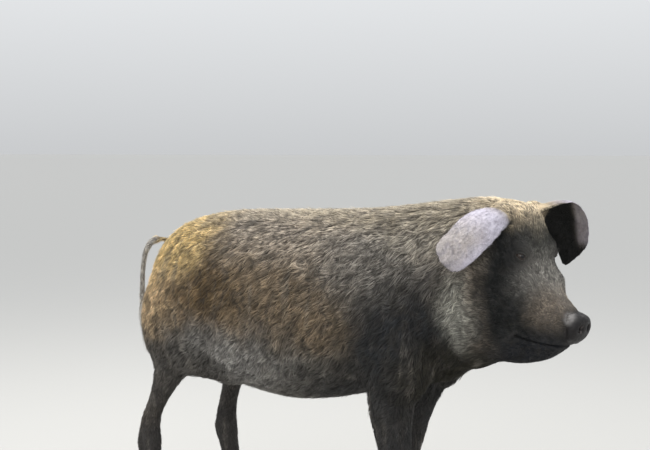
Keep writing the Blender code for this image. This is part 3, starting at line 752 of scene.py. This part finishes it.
# The shortest hairs are grain in the surface.
lie = stored("lie")
along_lie = sum_of("MULTIPLY", vector_sum("DOT_PRODUCT", place, lie), HAIR_DRAWN)
drawn_out = vector_sum("SUBTRACT", place, scaled(lie, along_lie))
hairs = noise(drawn_out, HAIR_GRAINS, 2.0)
hair_grain = sum_of("MULTIPLY", ranged(hairs, 0.35, 0.65, 0.0, 0.45), uneven)
colour = mixed(hair_grain, colour, SHORT_HAIR_COLOUR)
fine_noise = noise(place, 190.0, 4.0)
wrinkles = sum_of("MULTIPLY", ranged(fine_noise, 0.35, 0.7, 0.0, 0.5), uneven)
colour = mixed(wrinkles, colour, WRINKLE_COLOUR)
on_snout = oval(at_head, *SNOUT_OVAL)
colour = mixed(on_snout, colour, SNOUT_COLOUR)
blotch = ranged(noise(place, 60.0, 4.0), 0.61, 0.70, 0.0, 0.40)
colour = mixed(sum_of("MULTIPLY", on_snout, blotch), colour, SNOUT_BLOTCH)
colour = painted(colour, at_head, [PALE_RIM])
# Painted shade inside the nostril pits.
for side in (1, -1):
    pit_middle = (0.150, side * NOSTRIL_OFF, NOSTRIL_HEIGHT)
    colour = painted(colour, head_place(place), [(pit_middle, PIT_REACH, 0.25, 1.0, PAINTED_PIT_SHADE)])
tree.links.new(colour, shader.inputs["Base Color"])
shader.inputs["Specular IOR Level"].default_value = 0.26
wet = sum_of("MULTIPLY", on_snout, 0.22)
dry = ranged(fine_noise, 0.3, 0.7, 0.62, 0.80)
tree.links.new(sum_of("SUBTRACT", dry, wet), shader.inputs["Roughness"])
pores = add_node("TexVoronoi", feature="DISTANCE_TO_EDGE")
tree.links.new(place, pores.inputs["Vector"])
pores.inputs["Scale"].default_value = PORES
pore_rise = ranged(pores.outputs["Distance"], 0.0, 0.30, 0.0, 0.22)
height = sum_of("ADD", pore_rise, noise(place, 90.0, 6.0))
hairy = sum_of("MULTIPLY", hairs, sum_of("SUBTRACT", 1.0, on_snout))
roughen(sum_of("ADD", height, hairy), 0.5, 0.0016)
skin.data.materials.append(hide)

# Each ear's outer side, which faces up, and its hollow inner side are told apart by the way they face, as a
# lit
# and a shaded side: the pale outer colour is partly painted sheen of the light from above, and the near black
# of the hollow is partly painted shade. The outer sides are palest at the root and along the front edge, and
# greyer over the rest. The hollow of the left ear is paler along its front edge, where the skin turns over
# and the light catches it.
EAR_EDGE_SHADE, EAR_GREY = 0.38, 0.64
part = parts_on(skin.data)
pairs = edges_of(skin.data)
normals = normals_of(skin.data)
on_ear = share_of(part, "ear")
outer = np.zeros(len(places))
for side, facing in EAR_FACING.items():
    facing = head_turn @ (np.array(facing) / np.linalg.norm(facing))
    on_side = np.sign(in_head(places)[:, 1]) == side
    outer += on_side * (normals @ facing)
on_left = in_head(places)[:, 1] > 0
pale_edge = EAR_EDGE_SHADE * eased(ear_edge + 0.30 * ear_down, 0.22, 0.50)
pale_edge *= eased(-ear_down, -0.70, -0.45) * on_left
ear_paint = 1 - EAR_GREY * eased(ear_down, -0.6, 0.3) * (1 - eased(ear_edge, 0.25, 0.80))
part_amounts = np.stack(
    [
        on_ear * np.where(outer > 0, ear_paint, pale_edge),
        on_ear * (outer <= 0) * (1 - pale_edge / EAR_EDGE_SHADE),
        share_of(part, "tail", "tail_tassel"),
    ],
    axis=1,
)
part_amounts = spread_over(part_amounts, pairs, 3)
store(skin.data, "parts", part_amounts)

skin.data.shade_smooth()
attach(skin, "root")
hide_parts(*FLESH)


# The eyes -------------------------------------------------
# Two eyeballs set in the lids: a dark brown iris round a black pupil under a clear bulging cornea. Each is
# turned to look a little ahead of straight out from the side of the head.

EYE_AHEAD_TURN = 0.25  # how far the gaze is drawn from straight out towards straight ahead
CORNEA_BULGE, CORNEA_REACH = 0.0011, 0.0085
IRIS_COLOUR, IRIS_SPOKES = (0.016, 0.0085, 0.0045), (0.020, 0.010, 0.006)
WHITE_COLOUR, PUPIL_COLOUR = (0.030, 0.022, 0.018), (0.002, 0.002, 0.003)

eye_glass, tree, shader = new_material("eye_glass")
from_gaze = stored("from_gaze", "Fac")  # in radians from the middle of the pupil
colour = flecked(IRIS_COLOUR, from_gaze, 0.62, 0.80, 1.0, WHITE_COLOUR)
colour = flecked(colour, noise(room_place(), 900.0, 2.0), 0.4, 0.7, 0.5, IRIS_SPOKES)
colour = mixed(ranged(from_gaze, 0.27, 0.33, 1.0, 0.0), colour, PUPIL_COLOUR)
tree.links.new(colour, shader.inputs["Base Color"])
shader.inputs["Roughness"].default_value = 0.04
shader.inputs["Specular IOR Level"].default_value = 0.40

for name, (centre, out, long, up, radius) in zip(EYES, lid_rims):
    bpy.ops.object.select_all(action="DESELECT")
    bpy.ops.mesh.primitive_uv_sphere_add(segments=48, ring_count=32, radius=radius)
    eye = bpy.context.object
    eye.name = name + "_glass"
    for vertex in eye.data.vertices:
        vertex.select = vertex.co.z > radius * 0.999
    bpy.ops.object.mode_set(mode="EDIT")
    bpy.ops.mesh.select_mode(type="VERT")
    bpy.ops.transform.translate(
        value=(0, 0, CORNEA_BULGE),
        use_proportional_edit=True,
        proportional_edit_falloff="SMOOTH",
        proportional_size=CORNEA_REACH,
    )
    bpy.ops.object.mode_set(mode="OBJECT")
    angles = [vertex.co.angle(UP) for vertex in eye.data.vertices]
    eye.data.attributes.new("from_gaze", "FLOAT", "POINT").data.foreach_set("value", angles)
    gaze = Vector(out) * (1 - EYE_AHEAD_TURN) + Vector(forward) * EYE_AHEAD_TURN
    eye.rotation_euler = gaze.to_track_quat("Z", "Y").to_euler()
    eye.location = centre
    bpy.ops.object.transform_apply(location=True, rotation=True, scale=True)
    bpy.ops.object.shade_smooth()
    eye.data.materials.append(eye_glass)
    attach(eye, "root")
    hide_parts(name)


# The claws ------------------------------------------------
# Two horn claws and two small dewclaws on each foot: dark horn that has grown down in rings from a soft
# pale band at the coronet, and is worn flat and chipped at the sole.

RING_STEP = 0.0052  # between growth rings
RING_DEPTH = 0.00035
SOLE_BEVEL = 0.0012
CLAW_TAPER, CLAW_SHOULDER = 0.10, 0.12  # how much narrower the claw is at its top, and how its rim is rounded
CLAW_AXIS_BACK = 0.004  # how far behind the claw's middle it narrows to
HORN_DARK, HORN_STREAK = (0.036, 0.031, 0.027), (0.120, 0.098, 0.074)
SOLE_COLOUR, DIRT_COLOUR = (0.200, 0.165, 0.120), (0.115, 0.098, 0.076)

horn, tree, shader = new_material("horn")
place = room_place()
streak = noise(place, (420.0, 420.0, 26.0), 3.0)
colour = flecked(HORN_DARK, streak, 0.40, 0.66, 1.0, HORN_STREAK)
colour = flecked(colour, three_of(place)["Z"], 0.020, 0.0, 0.55, SOLE_COLOUR)
dirt = noise(place, 120.0, 4.0)
colour = flecked(colour, dirt, 0.50, 0.66, 0.7, DIRT_COLOUR)
tree.links.new(colour, shader.inputs["Base Color"])
tree.links.new(ranged(dirt, 0.35, 0.65, 0.34, 0.72), shader.inputs["Roughness"])
growth = noise(place, (60.0, 60.0, 900.0), 2.0)
roughen(sum_of("ADD", streak, growth), 0.35, 0.0006)

for name in [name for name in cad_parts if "claw" in name]:
    built = bmesh.new()
    built.from_mesh(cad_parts[name].data)
    bmesh.ops.remove_doubles(built, verts=built.verts, dist=1e-5)
    bmesh.ops.dissolve_limit(built, angle_limit=math.radians(1), verts=built.verts, edges=built.edges)
    claw = object_from(built, name + "_horn")
    low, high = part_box(name)
    only(claw)
    bpy.ops.object.mode_set(mode="EDIT")
    bpy.ops.mesh.select_all(action="SELECT")
    bpy.ops.mesh.normals_make_consistent()
    bpy.ops.object.mode_set(mode="OBJECT")
    edges = {"limit_method": "ANGLE", "angle_limit": math.radians(50)}
    finish_with(claw, "edges", "BEVEL", width=SOLE_BEVEL, segments=2, **edges)
    finish_with(claw, "plain_faces", "TRIANGULATE")
    finish_with(claw, "finer", "SUBSURF", levels=2, subdivision_type="SIMPLE")
    at = places_of(claw.data)
    axis = np.array([(low.x + high.x) / 2 - CLAW_AXIS_BACK, (low.y + high.y) / 2])
    up_claw = (at[:, 2:3] - low.z) / (high.z - low.z)
    at[:, :2] += (axis - at[:, :2]) * (CLAW_TAPER * up_claw + CLAW_SHOULDER * eased(up_claw, 0.80, 1.0))
    put_places(claw.data, at)
    facing = normals_of(claw.data)
    to_wall = (1 - np.abs(facing[:, 2:3])) * eased(at[:, 2:3], low.z + 0.001, low.z + 0.004)
    rings = np.cos((at[:, 2:3] + 0.25 * at[:, 0:1]) / RING_STEP * 2 * np.pi)
    at += facing * to_wall * (rings - 1) * RING_DEPTH
    put_places(claw.data, at)
    only(claw)
    bpy.ops.object.shade_smooth_by_angle(angle=math.radians(40))
    claw.data.materials.append(horn)
    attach(claw, "root")
    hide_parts(name)


# The coat -------------------------------------------------
# Stiff bristles in thin tufts, which grow backwards along the body, turn down over the flanks and the
# buttocks, and run down the legs. They are short on the face and feet, longest along the back and at the
# tip of the tail, and cling together in locks where mud has dried in them.

TUFTS, LOCKS = 148_000, 9000
PATCH = 0.003  # across each tuft's place on the baking map
ROOT_SINK = 0.0006
# For each body part: length, width, how far the tip stands off the skin, and how thickly they grow.
BRISTLES = {
    "trunk": (0.030, 0.0021, 0.0065, 0.88),
    "neck": (0.032, 0.0021, 0.0065, 0.95),
    "head": (0.010, 0.0011, 0.0018, 2.10),
    "snout_disc": (0.004, 0.0006, 0.0010, 0.10),
    "ear": (0.0080, 0.0007, 0.0007, 2.60),
    "eye": (0.003, 0.0005, 0.0006, 0.10),
    "tail": (0.018, 0.0012, 0.0024, 1.80),
    "tail_tassel": (0.075, 0.0014, 0.0070, 6.00),
    "foreleg": (0.014, 0.0013, 0.0022, 1.15),
    "hindleg": (0.014, 0.0013, 0.0022, 1.15),
}


def unit(vectors):
    return vectors / np.maximum(np.linalg.norm(vectors, axis=-1, keepdims=True), 1e-9)


def lie_of_coat(places, normals, part):
    """The way the bristles point at each vertex."""
    n_x, n_y, _ = normals.T
    down = 1.05 * eased(np.abs(n_y), 0.15, 0.75) + 1.2 * eased(-n_x, 0.25, 0.8) + 0.9 * eased(n_x, 0.35, 0.8)
    flow = np.stack([-1 + 0.8 * eased(-n_x, 0.25, 0.8), 0 * down, -down], axis=1)
    ear_roots = poll + np.sign(in_head(places)[:, 1])[:, None] * head_turn[:, 1] * 0.03
    hangs = eased(-places[:, 0], 0.585, 0.625)
    for names, way in [
        (("head", "snout_disc", "eye"), unit(places - snout)),
        (("ear",), unit(places - ear_roots)),
        (("foreleg", "hindleg"), np.array([-0.25, 0, -1.0])),
        (("tail", "tail_tassel"), np.stack([hangs - 1, 0 * hangs, -hangs], axis=1)),
    ]:
        flow = np.where(share_of(part, *names)[:, None] > 0, way, flow)
    flow = spread_over(flow, pairs, 24)
    return unit(flow - normals * (flow * normals).sum(1)[:, None])


flow = lie_of_coat(places, normals, part)
store(skin.data, "lie", flow)
bristle = np.array([BRISTLES[name] for name in part_names])[part]
ridge = eased(normals[:, 2], 0.70, 0.97) * eased(places[:, 2], 0.80, 0.83)
ridge *= share_of(part, "trunk", "neck")
ahead = in_head(places)[:, 0]
cheek = share_of(part, "head") * eased(-ahead, -0.04, 0.06)
face = share_of(part, "head") * eased(ahead, 0.05, 0.12)
foot = 1 - eased(places[:, 2], 0.05, 0.20)
bristle[:, 0] *= (1 + 0.45 * ridge + 0.9 * cheek - 0.35 * face) * (1 - 0.35 * foot)
bristle[:, 1] *= (1 + 0.35 * cheek - 0.25 * face) * (1 - 0.25 * foot)
bristle[:, 2] *= 1 + 0.45 * ridge + 0.7 * cheek - 0.3 * face
fringe = on_ear * eased(1 - np.abs(outer), 0.35, 0.75)  # along the edges of the ears
coronet = bell(places[:, 2] - BAND_HEIGHT, -0.003, 0.009) * on_leg
bristle *= 1 + coronet[:, None] * np.array([1.4, 0.0, 1.2, 1.0])
bristle[:, 0] *= 1 + 0.9 * fringe
bristle[:, 3] *= 1 + fringe
bristle = spread_over(bristle, pairs, 10)
bristle[:, :3] *= (0.35 + 0.65 * eased(from_eyes(places), 0.016, 0.045))[:, None]

skin.data.calc_loop_triangles()
triangles = numbers(skin.data.loop_triangles, "vertices", 3, np.int32)
skin_tree = BVHTree.FromPolygons(places.tolist(), triangles.tolist())
first, second, third = places[triangles].transpose(1, 0, 2)
areas = np.linalg.norm(np.cross(second - first, third - first), axis=1) / 2
rng = np.random.default_rng(7)


def onto_skin(points):
    """The nearest place on the skin to each point, its normal, and the lie of the coat there."""
    found = [skin_tree.find_nearest(point) for point in points.tolist()]
    at = np.array([hit[0] for hit in found])
    face = np.array([hit[2] for hit in found])
    return at, unit(normals[triangles[face]].mean(1)), unit(flow[triangles[face]].mean(1))


# Roots, scattered by area and by how thickly the bristles grow.
weight = areas * bristle[triangles, 3].mean(1)
root_face = np.sort(rng.choice(len(triangles), TUFTS, p=weight / weight.sum()))
corner_share = rng.random((TUFTS, 2))
corner_share = np.where(corner_share.sum(1, keepdims=True) > 1, 1 - corner_share, corner_share)
corner_share = np.column_stack([1 - corner_share.sum(1), corner_share])


def at_root(values):
    return (values[triangles[root_face]] * corner_share[:, :, None]).sum(1)


root = at_root(places)
root_normal = unit(at_root(normals))
root_flow = at_root(flow)
length, width, lift, _ = at_root(bristle).T
root_part = part[triangles[root_face, 0]]

# Locks: tufts cling to the nearest of a looser scatter of roots, and lean and shade as one with it.
lock_root = rng.choice(TUFTS, LOCKS, replace=False)
lock_tree = KDTree(LOCKS)
for k, point in enumerate(root[lock_root]):
    lock_tree.insert(point, k)
lock_tree.balance()
lock = np.array([lock_tree.find(point)[1] for point in root.tolist()])
lock_lean = rng.normal(0, 0.22, LOCKS)[lock]
lock_shade = rng.random(LOCKS)[lock]
lock_pull = rng.uniform(0.05, 0.50, LOCKS)[lock]

lean = (lock_lean + rng.normal(0, 0.16, TUFTS))[:, None]
length = length * rng.uniform(0.70, 1.20, TUFTS)
width = width * rng.uniform(0.70, 1.25, TUFTS)
lift = lift * rng.uniform(0.35, 1.15, TUFTS) * np.where(rng.random(TUFTS) > 0.97, 1.5, 1.0)
heading = unit(root_flow * np.cos(lean) + np.cross(root_normal, root_flow) * np.sin(lean))
pull = (root[lock_root[lock]] - root) * lock_pull[:, None]
pull *= np.minimum(1, length / np.maximum(np.linalg.norm(pull, axis=1), 1e-6) * 0.35)[:, None]
middle, middle_normal, middle_flow = onto_skin(root + heading * length[:, None] * 0.5 + pull * 0.4)
lean_on = lean * 1.3
across_flow = np.cross(middle_normal, middle_flow)
heading_on = unit(middle_flow * np.cos(lean_on) + across_flow * np.sin(lean_on))
tip, tip_normal, _ = onto_skin(middle + heading_on * length[:, None] * 0.5 + pull * 0.6)

# Over the claws and in the tassel the bristles hang free of the skin.
free = (1 - eased(root[:, 2], 0.062, 0.085)) * share_of(root_part, "foreleg", "hindleg")
in_tassel = share_of(root_part, "tail_tassel")[:, None] > 0
free = np.maximum(free[:, None], in_tassel)
straggling = unit(np.array([0.03, 0, -1.0]) + rng.normal(0, 0.05, (TUFTS, 3)))
hanging = np.where(in_tassel, straggling, heading)
length = np.where(in_tassel[:, 0], np.minimum(length, root[:, 2] - tassel_low.z - 0.003), length)
hung_middle = root + hanging * length[:, None] * 0.5 + root_normal * 0.0010
hung_tip = root + hanging * length[:, None] - root_normal * lift[:, None] * 0.8 * in_tassel
middle = middle * (1 - free) + hung_middle * free
tip = tip * (1 - free) + hung_tip * free
middle_normal = unit(middle_normal * (1 - free) + root_normal * free)
tip_normal = unit(tip_normal * (1 - free) + root_normal * free)
lines = np.stack(
    [
        root - root_normal * ROOT_SINK,
        middle + middle_normal * (lift * 0.60)[:, None],
        tip + tip_normal * lift[:, None],
    ],
    axis=1,
)
line_normals = np.stack([root_normal, middle_normal, tip_normal], axis=1)
parts_at_root = at_root(part_amounts)

# Lashes stand out from the upper lids and curve up. They join the tufts of the coat.
LASHES, LASH_LONG, LASH_WIDE = 30, 0.0085, 0.00045
tufts = [lines, line_normals, width, root, root_normal, root_face, corner_share, root_part]
tufts += [lock_shade, parts_at_root]
for centre, out, long, up, radius in lid_rims:
    off = np.linspace(-0.92, 0.92, LASHES) + rng.normal(0, 0.02, LASHES)
    above = EYE_HIGH * UPPER_LID * np.clip(1 - off**2, 0, None) ** GAP_CURVE + 0.0006
    at = centre + off[:, None] * EYE_LONG * long + above[:, None] * up
    at += np.sqrt(np.clip((radius + 0.0008) ** 2 - ((at - centre) ** 2).sum(1), 0, None))[:, None] * out
    way = unit(out + 0.55 * off[:, None] * long + 0.25 * up + rng.normal(0, 0.08, (LASHES, 3)))
    curl = unit(way + 0.75 * up)
    reach = LASH_LONG * rng.uniform(0.6, 1.1, LASHES)[:, None]
    lash = np.stack([at, at + way * reach * 0.5, at + (way + curl) * reach * 0.5], axis=1)
    lash_normal = unit(np.cross(way, np.cross(up, way)))[:, None]
    face = [skin_tree.find_nearest(point)[2] for point in at.tolist()]
    more = [lash, lash_normal.repeat(3, axis=1), np.full(LASHES, LASH_WIDE), at, np.tile(out, (LASHES, 1))]
    more += [face, np.full((LASHES, 3), 1 / 3), np.full(LASHES, part_names.index("eye"))]
    more += [np.zeros(LASHES), np.zeros((LASHES, 3))]
    tufts = [np.concatenate(both) for both in zip(tufts, more)]
lines, line_normals, width, root, root_normal, root_face, corner_share, root_part = tufts[:8]
lock_shade, parts_at_root = tufts[8:]

# Each tuft is a closed blade of three sides, drawn to a point: two rings of three corners and a tip.
RING_WIDTHS = (0.75, 0.85)  # of the tuft's width
THICKNESS = 0.30  # of its width
RING_ACROSS = (-0.5, 0.5, 0.0)
BLADE = np.array(
    [(0, 2, 1), (0, 1, 4), (0, 4, 3), (1, 2, 5), (1, 5, 4), (2, 0, 3), (2, 3, 5)]
    + [(3, 4, 6), (4, 5, 6), (5, 3, 6)]
)
# Where each corner of the blade lies on its patch of the baking map: across it and along it.
BLADE_ACROSS = np.array([*RING_ACROSS, *RING_ACROSS, 0.0])
BLADE_ALONG = np.array([0.0, 0.0, 0.0, 0.5, 0.5, 0.5, 1.0])
CORNERS = len(BLADE_ALONG)


def blades_of(picked):
    """The corners of the picked tufts' blades, seven to a tuft."""
    line = lines[picked]
    across = unit(np.cross(line_normals[picked, :2], line[:, 1:] - line[:, :2]))
    made = np.empty((len(picked), CORNERS, 3))
    for ring, ring_width in enumerate(RING_WIDTHS):
        wide = (width[picked] * ring_width)[:, None]
        for k, offset in enumerate(RING_ACROSS):
            above = line_normals[picked, ring] * wide * THICKNESS * (k == 2)
            made[:, 3 * ring + k] = line[:, ring] + across[:, ring] * wide * offset + above
    made[:, -1] = line[:, 2]
    return made


def root_map(faces):
    """Unwraps the skin of these faces, and gives the map's place at each corner, from 0 to 1."""
    used, corner = np.unique(triangles[faces], return_inverse=True)
    mesh = bpy.data.meshes.new("unwrap")
    mesh.from_pydata(places[used].tolist(), [], corner.reshape(-1, 3).tolist())
    unwrapped = new_object("unwrap", mesh)
    only(unwrapped)
    bpy.ops.object.mode_set(mode="EDIT")
    bpy.ops.mesh.select_all(action="SELECT")
    bpy.ops.uv.smart_project(angle_limit=math.radians(60), island_margin=0.002)
    bpy.ops.object.mode_set(mode="OBJECT")
    at = numbers(mesh.uv_layers.active.uv, "vector", 2).reshape(-1, 3, 2)
    bpy.data.objects.remove(unwrapped)
    low, high = at.min((0, 1)), at.max((0, 1))
    return (at - low) / (high - low)


bristles, tree, shader = new_material("bristles")
colour, place, at_head = markings()
# Tufts differ in shade, each on its own and with its lock, and are darker at the root than at the tip.
own, along, of_lock = three_of(stored("tuft"))
lighter = sum_of("MULTIPLY", ranged(own, 0.0, 1.0, 0.62, 1.38), ranged(of_lock, 0.0, 1.0, 0.72, 1.25))
lighter = sum_of("MULTIPLY", lighter, ranged(along, 0.0, 0.9, 0.55, 1.22))
# The ears' short hair lies even, with less between one tuft and the next.
outer_ear = three_of(stored("parts"))["X"]
uneven = ranged(outer_ear, 0.0, 0.5, 1.0, 0.30)
calmed = sum_of("MULTIPLY", sum_of("SUBTRACT", lighter, 1.0), uneven)
tree.links.new(scaled(colour, sum_of("ADD", calmed, 1.0)), shader.inputs["Base Color"])
dull = sum_of("MULTIPLY", outer_ear, 0.25)
roughness = sum_of("ADD", ranged(own, 0.0, 1.0, 0.45, 0.68), dull)
tree.links.new(roughness, shader.inputs["Roughness"])
shader.inputs["Specular IOR Level"].default_value = 0.30

# Which piece each tuft is in. Later ones take tufts from earlier ones.
x = root[:, 0]
_, across_body, upward = root_normal.T
on_right, underneath = across_body < 0, upward < -0.45
on_face = share_of(root_part, "head", "eye", "snout_disc") > 0
PIECES = {
    "flank_left": ~on_right,
    "flank_right": on_right,
    "shoulder_right": (x > 0.17) & on_right,
    "shoulder_left": (x > 0.17) & ~on_right,
    "back": upward > 0.75,
    "belly_rear": underneath & (x < -0.06),
    "belly_front": underneath & (x >= -0.06),
    "rump": x < -0.44,
    "face": on_face,
    "cheeks": on_face & (in_head(root)[:, 0] < 0.0),
    "forelegs": share_of(root_part, "foreleg") > 0,
    "hindlegs": share_of(root_part, "hindleg") > 0,
    "ears": share_of(root_part, "ear") > 0,
    "tail": share_of(root_part, "tail", "tail_tassel") > 0,
}
piece = np.empty(len(root), object)
for name, chosen in PIECES.items():
    piece[chosen] = "coat_" + name

on_patch = np.stack([BLADE_ACROSS[BLADE], BLADE_ALONG[BLADE] - 0.5], axis=-1)
on_patch[0, 1, 1] += 0.25  # the root's own face is given some height on the patch
for name in sorted(set(piece)):
    picked = np.flatnonzero(piece == name)
    faces, face_number = np.unique(root_face[picked], return_inverse=True)
    patch = (root_map(faces)[face_number] * corner_share[picked][:, :, None]).sum(1)
    patch = patch * (1 - PATCH) + PATCH / 2
    mesh = bpy.data.meshes.new(name)
    corner = (BLADE + CORNERS * np.arange(len(picked))[:, None, None]).ravel()
    mesh.vertices.add(len(picked) * CORNERS)
    mesh.loops.add(len(corner))
    mesh.polygons.add(len(corner) // 3)
    mesh.vertices.foreach_set("co", blades_of(picked).astype(np.float32).ravel())
    mesh.loops.foreach_set("vertex_index", corner.astype(np.int32))
    mesh.polygons.foreach_set("loop_start", np.arange(0, len(corner), 3, dtype=np.int32))
    mesh.update(calc_edges=True)
    mapped = patch[:, None, None] + on_patch * PATCH
    mesh.uv_layers.new(name="OFBake").uv.foreach_set("vector", mapped.astype(np.float32).ravel())
    tuft = np.empty((len(picked), CORNERS, 3))
    tuft[:, :, 0] = rng.random(len(picked))[:, None]
    tuft[:, :, 1] = BLADE_ALONG
    tuft[:, :, 2] = lock_shade[picked][:, None]
    store(mesh, "tuft", tuft)
    store(mesh, "parts", np.repeat(parts_at_root[picked], CORNERS, axis=0))
    coat = new_object(name, mesh)
    mesh.shade_smooth()
    mesh.materials.append(bristles)
    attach(coat, "root")
